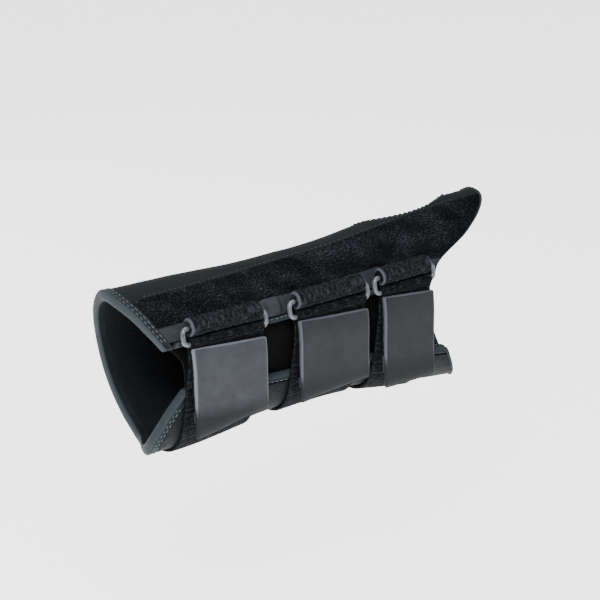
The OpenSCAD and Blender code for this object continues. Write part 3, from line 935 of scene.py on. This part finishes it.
class Ring:
    """The frame of one ring: the bar that the strap folds over, and the directions round it."""

    def __init__(self, number):
        self.number = number
        self.x, self.width, self.end_a, self.end_slant = STRAPS[number]
        half = self.width / 2
        self.bar = at(self.x, BAR_A, BAR_O)
        self.ex = unit(at(self.x + half, BAR_A, BAR_O) - at(self.x - half, BAR_A, BAR_O))
        hold = at(self.x, KEEPER_A, KEEPER_O) - self.bar
        self.ey = unit(hold - (hold @ self.ex) * self.ex)
        self.ez = np.cross(self.ex, self.ey)

    def point(self, across, y, z):
        """A point at millimetres across the strap, up round the arm, and outwards from the bar."""
        across, y, z = (np.asarray(k, float)[..., None] for k in np.broadcast_arrays(across, y, z))
        return self.bar + (self.ex * across + self.ey * y + self.ez * z) * MM


def ribs(length):
    """Height of the cross ribs at a length along the web."""
    return 0.34 * np.abs(np.sin(np.pi * length / RIB)) ** 0.7 - 0.12


def ring_keeper(ring):
    """The padded, ribbed roll over the ring's held bar, with rounded shoulders and a bore."""
    bore = RING_BAR + 0.15
    half = ring.width / 2 - 0.4
    turns = np.linspace(0, 2 * np.pi, 181)[:-1]
    radius = ROLL_R + 0.25 * np.cos(turns) + 0.45 * np.sin(turns)
    # Flatter on the side where the fold and the lifted tab pass
    side = np.degrees(np.pi - turns)
    past = np.clip(np.maximum(side - 39, -30 - side), 0, 60)
    radius = np.minimum(radius, ROLL_NEAR_R / np.cos(np.radians(past)))
    arc = np.cumsum(radius * (turns[1] - turns[0]))
    n_ribs = round(arc[-1] / RIB)
    rib = 0.42 * np.abs(np.sin(np.pi * n_ribs * arc / arc[-1])) ** 0.7 - 0.22
    rib = rib * (0.3 + 0.7 * ease((np.cos(turns) + 1) / 0.6))
    # Along the roll: the place, the share of the full radius, and how strongly it is ribbed
    left = [(-half, 0.0, 0.0), (-half, 0.5, 0.0)]
    for c in np.radians(np.linspace(0, 90, 7)):
        place = -half + ROLL_SHOULDER * (1 - math.cos(c))
        left.append((place, 1 - ROLL_SHOULDER / 4.8 * (1 - math.sin(c)), c / (np.pi / 2)))
    middle = [(x, 1.0, 1.0) for x in np.linspace(-half + ROLL_SHOULDER, half - ROLL_SHOULDER, 26)[1:-1]]
    profile = left + middle + [(-x, k, w) for x, k, w in reversed(left)]
    place, share, ribbed = np.array(profile).T
    puffed = 0.14 * noise(place[:, None] + 20, turns[None] * 5, 5.5, 60 + ring.number)
    r = bore + (radius - bore)[None] * share[:, None] + (rib[None] + puffed) * ribbed[:, None]
    points = ring.point(place[:, None] + 0 * r, RING_REACH + r * np.cos(turns), r * np.sin(turns))
    n, m = r.shape
    faces = []
    for i in range(n):
        for j in range(m):
            k, q = (i + 1) % n, (j + 1) % m
            faces.append([i * m + j, i * m + q, k * m + q, k * m + j])
    uv = np.stack([place[:, None] + 0 * r, np.broadcast_to(arc, r.shape)], -1).reshape(-1, 2) / UV_MM
    edge = np.broadcast_to((half - np.abs(place))[:, None], r.shape).ravel()
    edge = np.where(np.broadcast_to(share[:, None], r.shape).ravel() < 0.6, 3.0, edge)
    piece = make_object(f"ring_keeper_{ring.number}_roll", points.reshape(-1, 3), faces, uv, edge)
    finish_piece(piece, "roll", "keeper", "wrap", f"ring_keeper_{ring.number}")


def strap_leg(ring):
    """The standing leg: it lies along the wrap and rises to the underside of the fold."""
    v, u = grid(np.linspace(0, 1, 330), steps(18, ring.width, STRAP_RIM))
    a = LEG_START_A + (BAR_A - LEG_START_A) * v
    lean = LEG_LEAN * ease((BAR_A - a) / 60)
    across = ring.width * (u - 0.5)
    low = at(ring.x + across - lean, a, LEG_MID)
    side = out(ring.x + across - lean, a)
    high = ring.point(across, -(BAR_A - a) * MM_PER_DEG, -FOLD_R)
    k = ease((a - 14) / (BAR_A - 14))[..., None]
    mid = low * (1 - k) + high * k
    normal = unit(side * (1 - k) + ring.ez * k)
    length = spread(mid, 0)
    piece = slab(f"strap_leg_{ring.number}_webbing", mid, normal, ELASTIC / 2, STRAP_RIM, ribs(length) * 0.5,
                 open_ends=("u1",))
    finish_piece(piece, "elastic", "elastic", None, f"strap_leg_{ring.number}")
    start = at(ring.x, 10, LEG_MID)
    end = ring.point(0, -0.4, -FOLD_R)
    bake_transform(piece)
    return piece, float(length[-1].mean())


def strap_fold(ring):
    """The half turn of web over the ring's free bar."""
    turn, u = grid(np.radians(np.linspace(-90, 90, 60)), steps(18, ring.width, STRAP_RIM))
    across = ring.width * (u - 0.5)
    mid = ring.point(across, FOLD_R * np.cos(turn), FOLD_R * np.sin(turn))
    normal = ring.ey * np.cos(turn)[..., None] + ring.ez * np.sin(turn)[..., None]
    lift = ribs(spread(mid, 0)) * ease((turn + 1.2) / 0.8)
    piece = slab(f"strap_fold_{ring.number}_webbing", mid, normal, ELASTIC / 2, STRAP_RIM, lift,
                 open_ends=("u0", "u1"))
    finish_piece(piece, "elastic", "elastic", None, f"strap_fold_{ring.number}")
    start, end = ring.point(0, 0, -FOLD_R), ring.point(0, 0, FOLD_R)
    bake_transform(piece)
    return piece


# Angle and height of the free end's middle
FREE_END = [
    [END_LAST_A, END_MID], [16, END_MID], [18.5, END_MID + 0.2], [21.5, END_MID + 1.7],
    [BAR_A, BAR_O + FOLD_R],
]


def strap_end(ring):
    """The free end: it leaves the fold and dives in under the tab."""
    v, u = grid(np.linspace(0, 1, 170), steps(18, ring.width, STRAP_RIM))
    a = BAR_A - (BAR_A - END_LAST_A) * v
    across = ring.width * (u - 0.5)
    o = curve(FREE_END, a)
    far = at(ring.x + across, a, o)
    near = ring.point(across, -(BAR_A - a) * MM_PER_DEG, o - BAR_O)
    k = ease((a - 19) / (BAR_A - 19))[..., None]
    mid = far * (1 - k) + near * k
    along = unit(np.gradient(mid, axis=0))
    sideways = unit(np.gradient(mid, axis=1))
    normal = unit(np.cross(along, sideways))
    if np.sum(normal[0, 0] * ring.ez) < 0:
        normal = -normal
    piece = slab(f"strap_end_{ring.number}_webbing", mid, normal, ELASTIC / 2, STRAP_RIM,
                 ribs(spread(mid, 0)), open_ends=("u0",))
    return finish_piece(piece, "elastic", "elastic", f"strap_{ring.number}", f"strap_end_{ring.number}")


DROOP_LENGTH = 4.5


def stand_off(a):
    """The tab is stiff, so below the closure it stands away from the wrap."""
    return 0.0072 * np.maximum(0, -15 - a) ** 2


def plate(name, ring, width, first, last, height, thick, corner, rim, n, droop=0.0):
    """A plate that hangs down the wrap, with rounded corners and a rounded rim.

    first and last each hold an end's angle in the middle and its slant, added at its far corner.
    droop is how far the outer face turns in along the lower end.
    """
    v, u = grid(steps(n[1], 40, rim), steps(n[0], width, rim))
    first_a, last_a = first[0] + first[1] * (2 * u - 1), last[0] + last[1] * (2 * u - 1)
    a = first_a + (last_a - first_a) * v
    top = at(ring.x, first[0], height)
    long_half = np.linalg.norm(top - at(ring.x, last[0], height)) / MM / 2
    s, t = (u - 0.5) * width, (v - 0.5) * 2 * long_half
    over = long_half - np.abs(t)
    squeeze = np.where(over < corner, corner - np.sqrt(np.clip(corner**2 - (corner - over) ** 2, 0, None)), 0)
    s = s * (1 - 2 * squeeze / width)
    mid = at(ring.x + s, a, height + stand_off(a))
    reach = np.clip((t - long_half + DROOP_LENGTH) / DROOP_LENGTH, 0, 1)
    lift = -droop * (1 - np.sqrt(1 - reach**2 * 0.98))
    lift = lift + 0.12 * noise(s + 30, t + 30, 17, 70 + ring.number)
    return slab(name, mid, out(ring.x + s, a), thick / 2, rim, lift)


def pull_tab(ring):
    """The stiff coated tab at the strap's free end."""
    piece = plate(f"pull_tab_{ring.number}_plate", ring, ring.width, (TAB_TOP_A, -TAB_SLANT),
                  (ring.end_a - TAB_DROP, ring.end_slant), TAB_MID, TAB_T, 0.8, 0.55, (40, 60), droop=1.9)
    finish_piece(piece, f"tab_{ring.number}", "tab", f"strap_{ring.number}", f"pull_tab_{ring.number}")


def hook_patch(ring):
    """The hook tape under the tab."""
    piece = plate(f"hook_patch_{ring.number}_tape", ring, ring.width - 1, (HOOK_TOP_A, 0),
                  (ring.end_a + 2, ring.end_slant), END_MID, ELASTIC, 1.0, 0.4, (20, 20))
    finish_piece(piece, "hook", "hook", f"strap_{ring.number}", f"hook_patch_{ring.number}")
    return piece


def leg_stitching(ring):
    """The box of stitching that sews the leg to the lower panel."""
    box_x = ring.x - LEG_LEAN + np.array([-1, 1, 1, -1, -1]) * (ring.width / 2 - 3)
    box_a = np.array([-115.5, -115.5, -97, -97, -115.5])
    share = np.linspace(0, 4, 241)
    x, a = (np.interp(share, range(5), corners) for corners in (box_x, box_a))
    seam(f"strap_leg_{ring.number}_stitching", x, a, LEG_MID + ELASTIC / 2 + 0.2, slot="elastic")


for number in STRAPS:
    ring = Ring(number)
    ring_keeper(ring)
    leg, leg_length = strap_leg(ring)
    fold = strap_fold(ring)
    end = strap_end(ring)
    hook = hook_patch(ring)
    pull_tab(ring)
    leg_stitching(ring)

# ---------------------------------------------------------------- the palm stay's sleeve

STAY_R = 50
SLEEVE = (20, 188)
SLEEVE_CLOTH = 0.8
# How quickly the sleeve's flat faces turn into its round sides
SLEEVE_FLAT = 2.4


def palm_point(x, s, h):
    """A point over the palm at arc s across and height h, on the curve that the stay follows."""
    x, s, h = np.broadcast_arrays(x, s, h)
    radius, turn = STAY_R + h, s / STAY_R
    return np.stack([x, PALM_DEPTH - STAY_R + radius * np.cos(turn), radius * np.sin(turn)], -1) * MM


def stay_sleeve():
    """A flat sleeve of cloth, hemmed and open at the forearm end, and sewn flat at the other."""
    us = steps(90, SLEEVE[1] - SLEEVE[0], 0.35)
    vs = np.linspace(0, 1, 97)[:-1]
    u, v = grid(us, vs)
    x = SLEEVE[0] + (SLEEVE[1] - SLEEVE[0]) * u
    low, high = 0.7 + SLEEVE_CLOTH / 2, 4.5 - SLEEVE_CLOTH / 2
    flat = ease((x - 183.6) / 3.2)
    half = (high - low) / 2 * (1 - flat) + 0.42 * flat
    middle = (high + low) / 2 * (1 - flat) + (low + 0.42) * flat
    turn = 2 * np.pi * v
    wide = 11.5 - SLEEVE_CLOTH / 2 - (high - low) / 2
    rise = np.sin(turn) / math.sqrt(1 - 1 / SLEEVE_FLAT**2)
    bulge = half * np.sign(np.cos(turn)) * np.sqrt(np.clip(1 - rise**2, 0, 1))
    s = np.clip(np.cos(turn) * SLEEVE_FLAT, -1, 1) * wide + bulge
    h = middle + half * np.clip(rise, -1, 1)
    mid = palm_point(x, s, h)
    round_u, round_v = np.gradient(mid, axis=0), np.roll(mid, -1, 1) - np.roll(mid, 1, 1)
    normal = unit(np.cross(round_v, round_u))
    centre = palm_point(x, 0 * s, middle)
    if np.sum(normal * (mid - centre)) < 0:
        normal = -normal
    lift = 0.12 * noise(x, s + 20, 13, 81)
    piece = slab("stay_sleeve_cloth", mid, normal, SLEEVE_CLOTH / 2, 0.35, lift, closed_v=True)
    finish_piece(piece, "sleeve", "smooth_fabric", "wrap", "palm_stay_pocket")


stay_sleeve()
for number, side in ((1, -1), (2, 1)):
    line_x = np.linspace(SLEEVE[0] + 2, 182, 300)
    line = palm_point(line_x, side * 9.9 + 0 * line_x, 4.55 + 0 * line_x)
    stitches(f"stay_sleeve_stitching_{number}", line, "dark_thread", side=np.array([0.0, 1, 0]),
             slot="smooth_fabric")
line_s = np.linspace(-10, 10, 60)
stitches("stay_sleeve_stitching_3", palm_point(186.4 + 0 * line_s, line_s, 2.6 + 0 * line_s), "dark_thread",
         side=np.array([0.0, 1, 0]), slot="smooth_fabric")

# ---------------------------------------------------------------- CAD nodes that keep their shape


def repaint(node, paint):
    """Gives a CAD node one of the paints."""
    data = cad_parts[node].data
    data.materials.clear()
    data.materials.append(PAINTS[paint])


for number in STRAPS:
    repaint(f"ring_{number}", "ring")
for node in ("palm_stay", "dorsal_stay"):
    repaint(node, "metal")
for node in ("stay_tip_near", "stay_tip_far"):
    repaint(node, "tip")

# ---------------------------------------------------------------- floor

FLOOR_Z = cad_box[0].z - 0.14
FLOOR_HALF = 6


def make_floor():
    mesh = bpy.data.meshes.new("studio_floor")
    corners = [(x * FLOOR_HALF, y * FLOOR_HALF, FLOOR_Z) for x, y in ((-1, -1), (1, -1), (1, 1), (-1, 1))]
    mesh.from_pydata(corners, [], [(0, 1, 2, 3)])
    floor = bpy.data.objects.new("studio_floor", mesh)
    bpy.context.scene.collection.objects.link(floor)
    p = Paint("pale_floor", Roughness=0.9)
    shade = p.speckle(p.solid_place(1.0), 2.0, 2.0)
    p.colour(p.ramp(shade, (0.3, grey(0.8)), (0.7, grey(0.84))))
    p.shader.inputs["Emission Color"].default_value = (1, 1, 1, 1)
    p.shader.inputs["Emission Strength"].default_value = 2.2
    mesh.materials.append(p.material)


make_floor()
